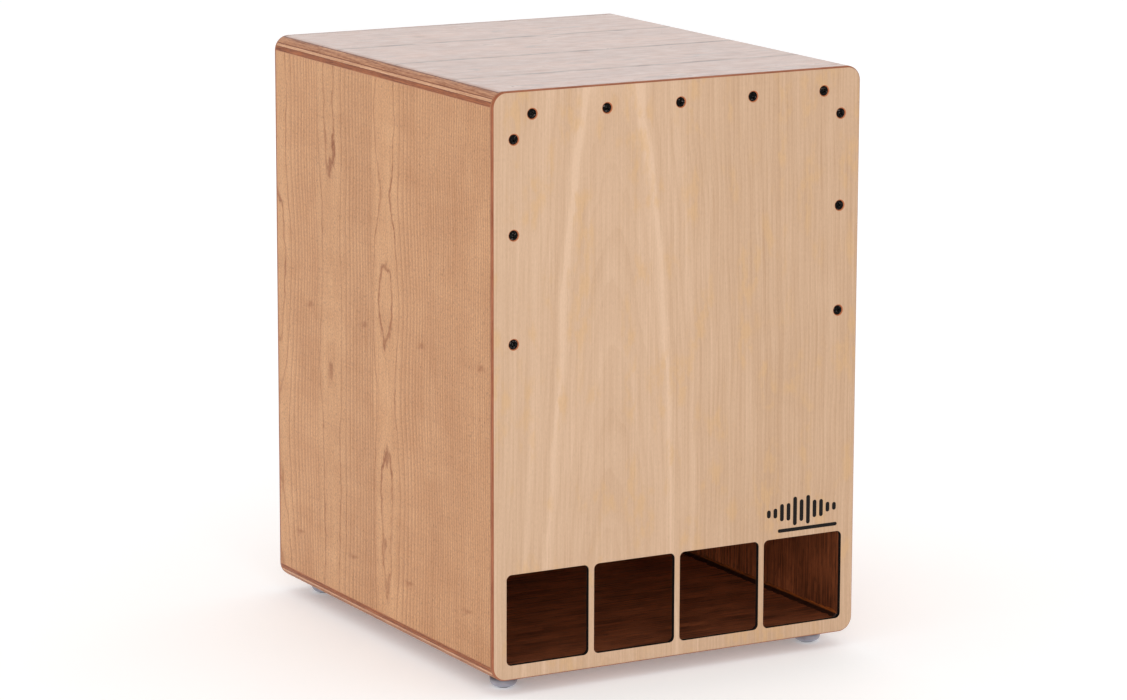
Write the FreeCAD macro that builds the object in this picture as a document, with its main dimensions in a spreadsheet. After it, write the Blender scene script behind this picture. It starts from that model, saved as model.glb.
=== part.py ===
"""A cajon: a plywood box drum with four bass ports in its striking plate.

The box stands on four cup feet.  Five boards make its shell, and thin plates close the front
(the tapa, which is struck) and the back.  A shelf over the ports turns the bottom of the box into
a bass duct that opens into the chamber behind it.  X runs along the front, the tapa faces -Y and
Z points up; the origin is on the floor, under the middle of the box.
"""
import FreeCAD
import Part
import Sketcher
import math
import os

# Driving dimensions, in millimetres unless the name says otherwise.
SIZES = [
    # shell
    ("box_width", 344),
    ("box_depth", 398),
    ("box_height", 480),
    ("board_thickness", 12.5),
    ("plate_thickness", 4),
    ("shell_corner_radius", 12),
    ("plate_corner_radius", 12.4),
    ("plate_edge_radius", 2.3),
    # ports and duct
    ("port_height", 75.5),
    ("port_bar_width", 5),
    ("port_corner_radius", 4.5),
    ("shelf_thickness", 9),
    ("shelf_length", 297),
    # inner battens
    ("batten_width", 13),
    ("batten_depth", 18),
    ("seam_strip_size", 7),
    # screws that hold the tapa
    ("screw_edge_distance", 19),
    ("top_screw_pitch", 68.2),
    ("side_screw_drop_1", 38.5),
    ("side_screw_drop_2", 115.2),
    ("side_screw_drop_3", 203.3),
    ("screw_length", 19),
    ("screw_shank", 3.5),
    ("screw_head", 8.1),
    ("screw_head_crown", 0.35),
    ("screw_sink", 0.75),
    ("countersink_width", 9.6),
    ("cross_recess_span", 4.6),
    ("cross_recess_width", 1.1),
    ("cross_recess_depth", 1.5),
    # feet
    ("foot_height", 13),
    ("foot_top_radius", 11.8),
    ("foot_bottom_radius", 11.2),
    ("foot_round_radius", 5),
    ("pad_radius", 6),
    ("pad_height", 3.6),
    ("pad_stand", 0.8),
    ("pad_edge", 0.5),
    ("foot_screw_head_radius", 4),
    ("foot_screw_head_height", 2.4),
    ("foot_screw_grip", 9),
    ("front_foot_side_inset", 26),
    ("front_foot_face_inset", 30),
    ("back_foot_side_inset", 32),
    ("back_foot_face_inset", 25),
    # snares
    ("snare_bar_drop", 27),
    ("snare_bar_size", 14),
    ("snare_offset", 104),
    ("snare_clip_width", 44),
    ("snare_clip_height", 18),
    ("snare_clip_overhang", 6),
    ("snare_clip_thickness", 1.2),
    ("snare_screw_spacing", 30),
    ("snare_screw_shank", 2.5),
    ("snare_screw_head_radius", 2.6),
    ("snare_screw_head_height", 1.4),
    ("snare_screw_length", 9),
    ("snare_wire_radius", 0.9),
    ("snare_wire_length", 118),
    ("snare_wire_pitch", 4.8),
    ("snare_fan_degrees", 2.2),
    ("snare_tapa_gap", 0.3),
]
TOP_SCREW_COUNT = 5
PORT_COUNT = 4
SNARE_WIRE_COUNT = 8

doc = FreeCAD.newDocument("cajon")
sheet = doc.addObject("Spreadsheet::Sheet", "Size")
for row, (alias, number) in enumerate(SIZES, start=1):
    sheet.set(f"A{row}", alias)
    sheet.set(f"B{row}", str(number))
    sheet.setAlias(f"B{row}", alias)
doc.recompute()

# Places that many pieces share, as expressions on the sheet.
HALF_WIDTH = "Size.box_width / 2"
WALL_X = f"({HALF_WIDTH} - Size.board_thickness)"
BATTEN_X = f"({WALL_X} - Size.batten_width)"
TAPA_BACK = "(Size.plate_thickness - Size.box_depth / 2)"
REAR_FRONT = "(Size.box_depth / 2 - Size.plate_thickness)"
SHELL_DEPTH = "(Size.box_depth - 2 * Size.plate_thickness)"
FRAME_FRONT = f"({TAPA_BACK} + Size.batten_depth)"
FRAME_BACK = f"({REAR_FRONT} - Size.batten_depth)"
INNER_WIDTH = "(Size.box_width - 2 * Size.board_thickness)"
FLOOR_TOP = "(Size.foot_height + Size.board_thickness)"
SEAT_TOP = "(Size.foot_height + Size.box_height)"
SEAT_UNDER = f"({SEAT_TOP} - Size.board_thickness)"
SHELF_UNDER = f"({FLOOR_TOP} + Size.port_height)"
SHELF_TOP = f"({SHELF_UNDER} + Size.shelf_thickness)"
PORT_WIDTH = f"(({INNER_WIDTH} - {PORT_COUNT - 1} * Size.port_bar_width) / {PORT_COUNT})"
TAPA_SCREW_TOP = f"({TAPA_BACK} - Size.plate_thickness + Size.screw_sink)"

# Screw places on the tapa, from its lower left corner.
SCREW_PLACES = []
for step in range(TOP_SCREW_COUNT):
    across = f"{HALF_WIDTH} + {step - TOP_SCREW_COUNT // 2} * Size.top_screw_pitch"
    SCREW_PLACES.append((across, "Size.box_height - Size.screw_edge_distance"))
for drop in ("side_screw_drop_1", "side_screw_drop_2", "side_screw_drop_3"):
    SCREW_PLACES.append(("Size.screw_edge_distance", f"Size.box_height - Size.{drop}"))
    SCREW_PLACES.append(("Size.box_width - Size.screw_edge_distance", f"Size.box_height - Size.{drop}"))

# The middles of the feet.
FEET = {
    "front_left": (f"Size.front_foot_side_inset - {HALF_WIDTH}",
                   "Size.front_foot_face_inset - Size.box_depth / 2"),
    "front_right": (f"{HALF_WIDTH} - Size.front_foot_side_inset",
                    "Size.front_foot_face_inset - Size.box_depth / 2"),
    "back_left": (f"Size.back_foot_side_inset - {HALF_WIDTH}",
                  "Size.box_depth / 2 - Size.back_foot_face_inset"),
    "back_right": (f"{HALF_WIDTH} - Size.back_foot_side_inset",
                   "Size.box_depth / 2 - Size.back_foot_face_inset"),
}

pieces = []


def number(expression):
    """The value of an expression on the sheet, in millimetres."""
    return float(sheet.evalExpression(expression))


def bind(item, **expressions):
    """Bind properties of an object to expressions; a double underscore stands for a dot."""
    for name, expression in expressions.items():
        item.setExpression(name.replace("__", "."), expression)


def place(item, across, along, up):
    """Bind an object's place."""
    bind(item, Placement__Base__x=across, Placement__Base__y=along, Placement__Base__z=up)


def keep(item, label):
    """List an object as a finished piece, under its own name."""
    item.Label = label
    pieces.append(item)
    return item


def box(label, across, along, up, length, width, height):
    """A plain box, from its lowest corner."""
    item = doc.addObject("Part::Box", label)
    bind(item, Length=length, Width=width, Height=height)
    place(item, across, along, up)
    return item


def rod(label, radius, height, across, along, up, axis):
    """A cylinder that starts at a place and runs along an axis."""
    item = doc.addObject("Part::Cylinder", label)
    item.Placement.Rotation = FreeCAD.Rotation(FreeCAD.Vector(0, 0, 1), axis)
    bind(item, Radius=radius, Height=height)
    place(item, across, along, up)
    return item


def cut(label, base, tools):
    """A piece with other shapes cut out of it."""
    tool = doc.addObject("Part::Compound", f"{label}_bores")
    tool.Links = tools
    item = doc.addObject("Part::Cut", label)
    item.Base = base
    item.Tool = tool
    return item


def new_body(label):
    """An empty body."""
    return doc.addObject("PartDesign::Body", label)


def new_sketch(body, name, plane, lift="0"):
    """A sketch on one of the body's own planes, lifted along the plane's normal."""
    sketch = body.newObject("Sketcher::SketchObject", name)
    support = next(item for item in body.Origin.OriginFeatures if item.Role == plane)
    sketch.AttachmentSupport = [(support, "")]
    sketch.MapMode = "FlatFace"
    bind(sketch, AttachmentOffset__Base__z=lift)
    return sketch


def hold_point(sketch, shape, vertex, name, across, up):
    """Tie a point of a sketch to a place measured from the sketch's origin."""
    if across == "0":
        sketch.addConstraint(Sketcher.Constraint("PointOnObject", shape, vertex, -2))
    else:
        sketch.addConstraint(Sketcher.Constraint("DistanceX", -1, 1, shape, vertex, number(across)))
        sketch.renameConstraint(sketch.ConstraintCount - 1, f"{name}_x")
        sketch.setExpression(f"Constraints.{name}_x", across)
    if up == "0":
        sketch.addConstraint(Sketcher.Constraint("PointOnObject", shape, vertex, -1))
    else:
        sketch.addConstraint(Sketcher.Constraint("DistanceY", -1, 1, shape, vertex, number(up)))
        sketch.renameConstraint(sketch.ConstraintCount - 1, f"{name}_y")
        sketch.setExpression(f"Constraints.{name}_y", up)


def draw_polygon(sketch, corners):
    """A closed outline of straight lines, with every corner tied to the sheet."""
    points = [FreeCAD.Vector(number(across), number(up), 0) for across, up in corners]
    following = points[1:] + points[:1]
    for start, end in zip(points, following):
        sketch.addGeometry(Part.LineSegment(start, end), False)
    count = len(corners)
    for index in range(count):
        sketch.addConstraint(Sketcher.Constraint("Coincident", index, 2, (index + 1) % count, 1))
    for index, (across, up) in enumerate(corners):
        hold_point(sketch, index, 1, f"corner{index}", across, up)


def draw_circle(sketch, across, up, radius):
    """A circle with its centre and its radius tied to the sheet."""
    index = sketch.GeometryCount
    centre = FreeCAD.Vector(number(across), number(up), 0)
    circle = Part.Circle(centre, FreeCAD.Vector(0, 0, 1), number(radius))
    sketch.addGeometry(circle, False)
    hold_point(sketch, index, 3, f"circle{index}", across, up)
    sketch.addConstraint(Sketcher.Constraint("Radius", index, number(radius)))
    sketch.renameConstraint(sketch.ConstraintCount - 1, f"circle{index}_radius")
    sketch.setExpression(f"Constraints.circle{index}_radius", radius)


def rectangle(across, up, width, height):
    """The corners of a rectangle, from its lower left one."""
    right = f"{across} + {width}"
    top = f"{up} + {height}"
    return [(across, up), (right, up), (right, top), (across, top)]


def pad(body, sketch, length):
    """Raise a sketch into a solid."""
    feature = body.newObject("PartDesign::Pad", f"{sketch.Name}_pad")
    feature.Profile = sketch
    bind(feature, Length=length)
    doc.recompute()
    return feature


def pocket(body, sketch, depth=None, into_normal=False):
    """Cut a sketch out of the body, right through or to a depth, and check that it removed wood."""
    before = body.Shape.Volume
    feature = body.newObject("PartDesign::Pocket", f"{sketch.Name}_pocket")
    feature.Profile = sketch
    feature.Reversed = into_normal
    if depth is None:
        feature.Type = "ThroughAll"
    else:
        feature.Type = "Length"
        bind(feature, Length=depth)
    doc.recompute()
    if body.Shape.Volume >= before:
        raise RuntimeError(f"{feature.Name} cuts nothing")
    return feature


def revolve(body, sketch):
    """Turn a half outline round the sketch's upright axis."""
    feature = body.newObject("PartDesign::Revolution", f"{sketch.Name}_turned")
    feature.Profile = sketch
    feature.ReferenceAxis = (sketch, ["V_Axis"])
    feature.Angle = 360
    doc.recompute()
    return feature


def round_edges(body, name, wanted, radius):
    """Fillet the edges of the body's tip that a test picks."""
    tip = body.Tip
    edges = [f"Edge{index}" for index, edge in enumerate(tip.Shape.Edges, start=1) if wanted(edge)]
    feature = body.newObject("PartDesign::Fillet", name)
    feature.Base = (tip, edges)
    bind(feature, Radius=radius)
    doc.recompute()
    return feature


def runs_along(edge, axis):
    """Whether an edge is straight and parallel to an axis."""
    if len(edge.Vertexes) != 2:
        return False
    run = edge.Vertexes[1].Point - edge.Vertexes[0].Point
    return abs(abs(run.dot(axis)) - edge.Length) < 1e-6


AXIS_X = FreeCAD.Vector(1, 0, 0)
AXIS_Y = FreeCAD.Vector(0, 1, 0)
AXIS_Z = FreeCAD.Vector(0, 0, 1)


def shell_board(label, rounded_height):
    """A full-width board of the shell with its two long outer edges rounded."""
    body = new_body(label)
    outline = new_sketch(body, f"{label}_section", "XZ_Plane")
    draw_polygon(outline, rectangle("0", "0", "Size.box_width", "Size.board_thickness"))
    pad(body, outline, SHELL_DEPTH)

    def is_outer_edge(edge):
        return runs_along(edge, AXIS_Y) and abs(edge.Vertexes[0].Z - rounded_height) < 1e-6

    round_edges(body, f"{label}_rounding", is_outer_edge, "Size.shell_corner_radius")
    return body


def seat_panel():
    """The board that the player sits on."""
    body = shell_board("seat_panel", number("Size.board_thickness"))
    place(body, f"-{HALF_WIDTH}", REAR_FRONT, SEAT_UNDER)
    keep(body, "seat_panel")


def floor_panel():
    """The lowest board, bored for the screws of the feet."""
    body = shell_board("floor_panel", 0)
    bores = new_sketch(body, "foot_screw_bores", "XY_Plane")
    for across, along in FEET.values():
        draw_circle(bores, f"{across} + {HALF_WIDTH}", f"{along} - {REAR_FRONT}", "Size.screw_shank / 2")
    pocket(body, bores, "Size.foot_screw_grip", into_normal=True)
    place(body, f"-{HALF_WIDTH}", REAR_FRONT, "Size.foot_height")
    keep(body, "floor_panel")


def side_panels():
    """The two upright boards between the seat and the floor."""
    height = f"{SEAT_UNDER} - {FLOOR_TOP}"
    for side, across in (("left", f"-{HALF_WIDTH}"), ("right", WALL_X)):
        label = f"{side}_side_panel"
        keep(box(label, across, TAPA_BACK, FLOOR_TOP, "Size.board_thickness", SHELL_DEPTH, height), label)


def thin_plate(label):
    """A plate with the outline of the whole box, rounded at its corners and round its outer face."""
    body = new_body(label)
    outline = new_sketch(body, f"{label}_outline", "XZ_Plane")
    draw_polygon(outline, rectangle("0", "0", "Size.box_width", "Size.box_height"))
    pad(body, outline, "Size.plate_thickness")
    round_edges(body, f"{label}_corners", lambda edge: runs_along(edge, AXIS_Y), "Size.plate_corner_radius")
    face_depth = -number("Size.plate_thickness")

    def is_on_outer_face(edge):
        return all(abs(vertex.Y - face_depth) < 1e-6 for vertex in edge.Vertexes)

    round_edges(body, f"{label}_rim", is_on_outer_face, "Size.plate_edge_radius")
    return body


def cut_ports(body):
    """Four equal mouths across the foot of the tapa, parted by narrow bars."""
    mouth = new_sketch(body, "port_mouth", "XZ_Plane", "Size.plate_thickness")
    draw_polygon(mouth, rectangle("Size.board_thickness", "Size.board_thickness",
                                  PORT_WIDTH, "Size.port_height"))
    first = pocket(body, mouth)
    row = body.newObject("PartDesign::LinearPattern", "port_row")
    row.Originals = [first]
    row.Direction = (mouth, ["H_Axis"])
    row.Occurrences = PORT_COUNT
    bind(row, Length=f"{PORT_COUNT - 1} * ({PORT_WIDTH} + Size.port_bar_width)")
    body.Tip = row
    doc.recompute()
    margin = number("Size.board_thickness") - 1e-3
    far_side = number("Size.box_width") - margin

    def is_port_corner(edge):
        return runs_along(edge, AXIS_Y) and margin < edge.Vertexes[0].X < far_side

    round_edges(body, "port_corners", is_port_corner, "Size.port_corner_radius")


def bore_tapa(body):
    """Countersunk holes for the screws, through the tapa."""
    places = new_sketch(body, "screw_places", "XZ_Plane", "Size.plate_thickness")
    for across, up in SCREW_PLACES:
        draw_circle(places, across, up, "Size.screw_shank / 2")
    doc.recompute()
    before = body.Shape.Volume
    holes = body.newObject("PartDesign::Hole", "screw_holes")
    holes.Profile = places
    doc.recompute()
    holes.DepthType = "ThroughAll"
    holes.HoleCutType = "Countersink"
    holes.HoleCutCustomValues = True
    holes.HoleCutCountersinkAngle = 90
    bind(holes, Diameter="Size.screw_shank", HoleCutDiameter="Size.countersink_width")
    doc.recompute()
    if body.Shape.Volume >= before:
        raise RuntimeError("the screw holes cut nothing")


def tapa():
    """The striking plate, with the ports and the screw holes."""
    body = thin_plate("tapa")
    cut_ports(body)
    bore_tapa(body)
    place(body, f"-{HALF_WIDTH}", TAPA_BACK, "Size.foot_height")
    keep(body, "tapa")


def rear_panel():
    """The closed plate at the back, with its rounded face turned away from the tapa."""
    body = thin_plate("rear_panel")
    body.Placement.Rotation = FreeCAD.Rotation(AXIS_Z, 180)
    place(body, HALF_WIDTH, REAR_FRONT, "Size.foot_height")
    keep(body, "rear_panel")


def port_shelf():
    """The shelf that roofs the bass duct and stops short of the back."""
    shelf = box("port_shelf", f"-{WALL_X}", TAPA_BACK, SHELF_UNDER,
                INNER_WIDTH, "Size.shelf_length", "Size.shelf_thickness")
    keep(shelf, "port_shelf")


def screw_bore(label, across, up):
    """The bore that a tapa screw leaves in a batten."""
    return rod(label, "Size.screw_shank / 2", "Size.screw_length", across, TAPA_SCREW_TOP, up, AXIS_Y)


def front_battens():
    """The frame that the tapa is screwed to: one batten under the seat and one at each side."""
    bores = {"top": [], "left": [], "right": []}
    for index, (across, up) in enumerate(SCREW_PLACES):
        side = "top" if index < TOP_SCREW_COUNT else ("left", "right")[(index - TOP_SCREW_COUNT) % 2]
        bores[side].append(screw_bore(f"batten_bore_{index + 1}", f"{across} - {HALF_WIDTH}",
                                      f"{up} + Size.foot_height"))
    top = box("top_front_blank", f"-{BATTEN_X}", TAPA_BACK, f"{SEAT_UNDER} - Size.batten_width",
              f"2 * {BATTEN_X}", "Size.batten_depth", "Size.batten_width")
    keep(cut("top_front_batten", top, bores["top"]), "top_front_batten")
    for side, across in (("left", f"-{WALL_X}"), ("right", BATTEN_X)):
        blank = box(f"{side}_front_blank", across, TAPA_BACK, SHELF_TOP,
                    "Size.batten_width", "Size.batten_depth", f"{SEAT_UNDER} - {SHELF_TOP}")
        label = f"{side}_front_batten"
        keep(cut(label, blank, bores[side]), label)


def rear_battens():
    """The frame that the rear panel is glued to."""
    depth = "Size.batten_depth"
    width = "Size.batten_width"
    under_seat = f"{SEAT_UNDER} - {width}"
    keep(box("rear_top_batten", f"-{BATTEN_X}", FRAME_BACK, under_seat, f"2 * {BATTEN_X}", depth, width),
         "rear_top_batten")
    keep(box("rear_floor_batten", f"-{WALL_X}", FRAME_BACK, FLOOR_TOP, INNER_WIDTH, depth, width),
         "rear_floor_batten")
    for side, across in (("left", f"-{WALL_X}"), ("right", BATTEN_X)):
        label = f"rear_{side}_batten"
        keep(box(label, across, FRAME_BACK, f"{FLOOR_TOP} + {width}",
                 width, depth, f"{SEAT_UNDER} - {FLOOR_TOP} - {width}"), label)


def corner_battens():
    """Battens in the corners under the seat, and cleats that hold the shelf down on the walls."""
    width = "Size.batten_width"
    cleat_length = f"{TAPA_BACK} + Size.shelf_length - {FRAME_FRONT}"
    for side, across in (("left", f"-{WALL_X}"), ("right", BATTEN_X)):
        label = f"{side}_seat_batten"
        keep(box(label, across, FRAME_FRONT, f"{SEAT_UNDER} - {width}",
                 width, f"{FRAME_BACK} - {FRAME_FRONT}", width), label)
        label = f"{side}_shelf_cleat"
        keep(box(label, across, FRAME_FRONT, SHELF_TOP, width, cleat_length, width), label)


def seam_strips():
    """Three-cornered strips that seal the seams between the floor and the walls of the duct."""
    size = "Size.seam_strip_size"
    length = f"{FRAME_BACK} - {TAPA_BACK}"
    for side, wall, toe in (("left", f"-{WALL_X}", f"{size} - {WALL_X}"),
                            ("right", WALL_X, f"{WALL_X} - {size}")):
        label = f"{side}_seam_strip"
        body = new_body(label)
        section = new_sketch(body, f"{label}_section", "XZ_Plane")
        draw_polygon(section, [(wall, "0"), (toe, "0"), (wall, size)])
        pad(body, section, length)
        place(body, "0", FRAME_BACK, FLOOR_TOP)
        keep(body, label)


def tapa_screw_blank():
    """One cross-recessed countersunk screw, its crown at the origin and its point down."""
    body = new_body("tapa_screw_blank")
    half_head = "Size.screw_head / 2"
    half_shank = "Size.screw_shank / 2"
    crown = "Size.screw_head_crown"
    half_outline = [
        ("0", crown),
        (f"{half_head} * 0.55", f"{crown} * 0.7"),
        (half_head, "0"),
        (half_shank, f"{half_shank} - {half_head}"),
        (half_shank, "Size.screw_shank - Size.screw_length"),
        ("0", "-Size.screw_length"),
    ]
    outline = new_sketch(body, "screw_outline", "XZ_Plane")
    draw_polygon(outline, half_outline)
    revolve(body, outline)
    recess = new_sketch(body, "cross_recess", "XY_Plane", crown)
    reach = "Size.cross_recess_span / 2"
    half_slot = "Size.cross_recess_width / 2"
    cross = []
    for across_sign, up_sign in ((1, 1), (-1, 1), (-1, -1), (1, -1)):
        arm_across = (f"{across_sign} * {reach}", f"{up_sign} * {half_slot}")
        corner = (f"{across_sign} * {half_slot}", f"{up_sign} * {half_slot}")
        arm_up = (f"{across_sign} * {half_slot}", f"{up_sign} * {reach}")
        if across_sign == up_sign:
            cross += [arm_across, corner, arm_up]
        else:
            cross += [arm_up, corner, arm_across]
    draw_polygon(recess, cross)
    pocket(body, recess, "Size.cross_recess_depth")
    return body


def screw_group(label, blank, placements):
    """Copies of one screw as separate solids in one piece."""
    copies = []
    for placement in placements:
        copy = blank.Shape.copy()
        copy.Placement = placement
        copies.append(copy)
    group = doc.addObject("Part::Feature", label)
    group.Shape = Part.makeCompound(copies)
    keep(group, label)


def tapa_screws():
    """The eleven screws, each turned by its own amount, sunk a little below the face."""
    blank = tapa_screw_blank()
    turn_step = 37
    into_tapa = FreeCAD.Rotation(AXIS_X, 90)
    placements = []
    for index, (across, up) in enumerate(SCREW_PLACES):
        point = FreeCAD.Vector(number(f"{across} - {HALF_WIDTH}"), number(TAPA_SCREW_TOP),
                               number(f"{up} + Size.foot_height"))
        turn = FreeCAD.Rotation(AXIS_Z, turn_step * index)
        placements.append(FreeCAD.Placement(point, into_tapa.multiply(turn)))
    screw_group("tapa_screws", blank, placements)


def foot_cup(name, across, along):
    """A round metal cup that narrows to a rounded rim, hollowed for its pad and its screw."""
    label = f"{name}_foot_cup"
    body = new_body(label)
    rim = "Size.pad_stand"
    outline = new_sketch(body, f"{label}_outline", "XZ_Plane")
    draw_polygon(outline, [("0", rim), ("Size.foot_bottom_radius", rim),
                           ("Size.foot_top_radius", "Size.foot_height"), ("0", "Size.foot_height")])
    revolve(body, outline)

    def is_lower_rim(edge):
        on_rim = all(abs(vertex.Z - number(rim)) < 1e-6 for vertex in edge.Vertexes)
        return on_rim and edge.Length > number("Size.foot_bottom_radius")

    round_edges(body, f"{label}_round", is_lower_rim, "Size.foot_round_radius")
    hollows = [
        ("pad_seat", "Size.pad_radius", "Size.pad_height"),
        ("head_seat", "Size.foot_screw_head_radius", "Size.pad_height + Size.foot_screw_head_height"),
        ("screw_way", "Size.screw_shank / 2", None),
    ]
    for hollow, radius, depth in hollows:
        circle = new_sketch(body, f"{label}_{hollow}", "XY_Plane")
        draw_circle(circle, "0", "0", radius)
        pocket(body, circle, depth, into_normal=True)
    place(body, across, along, "0")
    keep(body, label)


def foot_pad(name, across, along):
    """The rubber disc that a foot stands on, its lower edge softened."""
    label = f"{name}_foot_pad"
    body = new_body(label)
    disc = new_sketch(body, f"{label}_disc", "XY_Plane")
    draw_circle(disc, "0", "0", "Size.pad_radius")
    pad(body, disc, "Size.pad_height")
    round_edges(body, f"{label}_edge", lambda edge: abs(edge.Vertexes[0].Z) < 1e-6, "Size.pad_edge")
    place(body, across, along, "0")
    keep(body, label)


def foot_screw_blank():
    """One pan-head screw, point up, as it stands in a foot."""
    body = new_body("foot_screw_blank")
    head_under = "Size.pad_height"
    head_over = "Size.pad_height + Size.foot_screw_head_height"
    shank_end = "Size.foot_height + Size.foot_screw_grip"
    outline = new_sketch(body, "foot_screw_outline", "XZ_Plane")
    draw_polygon(outline, [
        ("0", head_under),
        ("Size.foot_screw_head_radius", head_under),
        ("Size.foot_screw_head_radius", head_over),
        ("Size.screw_shank / 2", head_over),
        ("Size.screw_shank / 2", f"{shank_end} - Size.screw_shank / 2"),
        ("0", shank_end),
    ])
    revolve(body, outline)
    return body


def feet():
    """Four feet, each a cup on a rubber pad, and the screws that hold them to the floor panel."""
    placements = []
    for name, (across, along) in FEET.items():
        foot_cup(name, across, along)
        foot_pad(name, across, along)
        point = FreeCAD.Vector(number(across), number(along), 0)
        placements.append(FreeCAD.Placement(point, FreeCAD.Rotation()))
    screw_group("foot_screws", foot_screw_blank(), placements)


# The snare bar's foot and front, the clips' front, and the places of the clip screws.
BAR_FOOT = f"({SEAT_UNDER} - Size.snare_bar_drop - Size.snare_bar_size)"
CLIP_FRONT = f"({FRAME_FRONT} - Size.snare_clip_thickness)"
CLIP_SCREW_HEIGHT = f"({BAR_FOOT} + Size.snare_bar_size / 2)"
CLIP_SCREWS = {
    "left": ["-Size.snare_offset - Size.snare_screw_spacing / 2",
             "-Size.snare_offset + Size.snare_screw_spacing / 2"],
    "right": ["Size.snare_offset - Size.snare_screw_spacing / 2",
              "Size.snare_offset + Size.snare_screw_spacing / 2"],
}


def clip_bores(label, side):
    """The bores of one clip's two screws, through the clip and into the bar."""
    return [rod(f"{label}_bore_{index}", "Size.snare_screw_shank / 2", "Size.snare_screw_length",
                across, CLIP_FRONT, CLIP_SCREW_HEIGHT, AXIS_Y)
            for index, across in enumerate(CLIP_SCREWS[side], start=1)]


def snare_bar():
    """The bar behind the front frame that carries the snares."""
    size = "Size.snare_bar_size"
    blank = box("snare_bar_blank", f"-{WALL_X}", FRAME_FRONT, BAR_FOOT, INNER_WIDTH, size, size)
    bores = clip_bores("snare_bar_left", "left") + clip_bores("snare_bar_right", "right")
    keep(cut("snare_bar", blank, bores), "snare_bar")


def snare_screws():
    """The four small screws that hold the clips to the bar."""
    body = new_body("snare_screw_blank")
    outline = new_sketch(body, "snare_screw_outline", "XZ_Plane")
    draw_polygon(outline, [
        ("0", "-Size.snare_screw_head_height"),
        ("Size.snare_screw_head_radius", "-Size.snare_screw_head_height"),
        ("Size.snare_screw_head_radius", "0"),
        ("Size.snare_screw_shank / 2", "0"),
        ("Size.snare_screw_shank / 2", "Size.snare_screw_length - Size.snare_screw_shank / 2"),
        ("0", "Size.snare_screw_length"),
    ])
    revolve(body, outline)
    into_bar = FreeCAD.Rotation(AXIS_X, -90)
    height = number(CLIP_SCREW_HEIGHT)
    placements = [FreeCAD.Placement(FreeCAD.Vector(number(across), number(CLIP_FRONT), height), into_bar)
                  for side in CLIP_SCREWS for across in CLIP_SCREWS[side]]
    screw_group("snare_screws", body, placements)


def snare_clips():
    """The two sheet-metal clips on the bar; each hangs a little below it."""
    for side, sign in (("left", -1), ("right", 1)):
        label = f"{side}_snare_clip"
        blank = box(f"{label}_blank", f"{sign} * Size.snare_offset - Size.snare_clip_width / 2",
                    CLIP_FRONT, f"{BAR_FOOT} - Size.snare_clip_overhang",
                    "Size.snare_clip_width", "Size.snare_clip_thickness", "Size.snare_clip_height")
        keep(cut(label, blank, clip_bores(label, side)), label)


def snare_wires():
    """At each side a fan of coiled wires, from the front of its clip down to the back of the tapa."""
    radius = number("Size.snare_wire_radius")
    length = number("Size.snare_wire_length")
    pitch = number("Size.snare_wire_pitch")
    fan_step = math.radians(number("Size.snare_fan_degrees"))
    start_depth = number(CLIP_FRONT) - radius
    rest_depth = number(f"{TAPA_BACK} + Size.snare_tapa_gap") + radius
    lean = math.asin((start_depth - rest_depth) / length)
    start_height = number(BAR_FOOT) - radius
    for side, sign in (("left", -1), ("right", 1)):
        wires = []
        for index in range(SNARE_WIRE_COUNT):
            step = index - (SNARE_WIRE_COUNT - 1) / 2
            across = sign * number("Size.snare_offset") + step * pitch
            fan = step * fan_step
            run = FreeCAD.Vector(math.sin(fan) * math.cos(lean), -math.sin(lean),
                                 -math.cos(fan) * math.cos(lean))
            start = FreeCAD.Vector(across, start_depth, start_height)
            wires.append(Part.makeCylinder(radius, length, start, run))
        fan_of_wires = doc.addObject("Part::Feature", f"{side}_snare_wires")
        fan_of_wires.Shape = Part.makeCompound(wires)
        keep(fan_of_wires, f"{side}_snare_wires")


def write_pieces():
    """Check the whole document, then write one file for each piece."""
    doc.recompute()
    for item in doc.Objects:
        if any(word in item.State for word in ("Invalid", "Error")):
            raise RuntimeError(f"{item.Label} failed: {item.State}")
    for piece in pieces:
        if piece.Shape.isNull() or not piece.Shape.isValid():
            raise RuntimeError(f"{piece.Label} has no sound shape")
    os.makedirs("parts", exist_ok=True)
    for piece in pieces:
        piece.Shape.exportStep(f"parts/{piece.Label}.step")


seat_panel()
floor_panel()
side_panels()
tapa()
rear_panel()
port_shelf()
front_battens()
rear_battens()
corner_battens()
seam_strips()
tapa_screws()
feet()
snare_bar()
snare_clips()
snare_screws()
snare_wires()
write_pieces()
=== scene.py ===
"""The looks of the cajon: veneers, ply edges, stained duct, screws, feet, snares, light and camera.

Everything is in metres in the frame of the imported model; the shader helpers work in millimetres.
"""
import math
from dataclasses import dataclass, field, replace

import bmesh
import bpy
from mathutils import Matrix, Vector, noise as field_noise


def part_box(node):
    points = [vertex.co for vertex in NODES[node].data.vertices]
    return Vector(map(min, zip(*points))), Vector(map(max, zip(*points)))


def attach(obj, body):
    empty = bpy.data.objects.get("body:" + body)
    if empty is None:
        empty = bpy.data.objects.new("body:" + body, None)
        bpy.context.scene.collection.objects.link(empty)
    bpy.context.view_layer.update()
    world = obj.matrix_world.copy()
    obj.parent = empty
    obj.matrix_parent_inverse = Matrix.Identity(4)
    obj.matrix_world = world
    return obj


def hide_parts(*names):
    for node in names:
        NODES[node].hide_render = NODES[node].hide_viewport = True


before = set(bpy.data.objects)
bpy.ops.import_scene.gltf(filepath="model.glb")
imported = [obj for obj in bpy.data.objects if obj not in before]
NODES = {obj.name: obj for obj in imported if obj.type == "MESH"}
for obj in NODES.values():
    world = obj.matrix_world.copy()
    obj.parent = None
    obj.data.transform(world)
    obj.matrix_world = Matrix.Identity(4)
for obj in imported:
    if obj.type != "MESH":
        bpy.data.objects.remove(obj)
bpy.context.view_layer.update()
MM = 0.001

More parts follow.
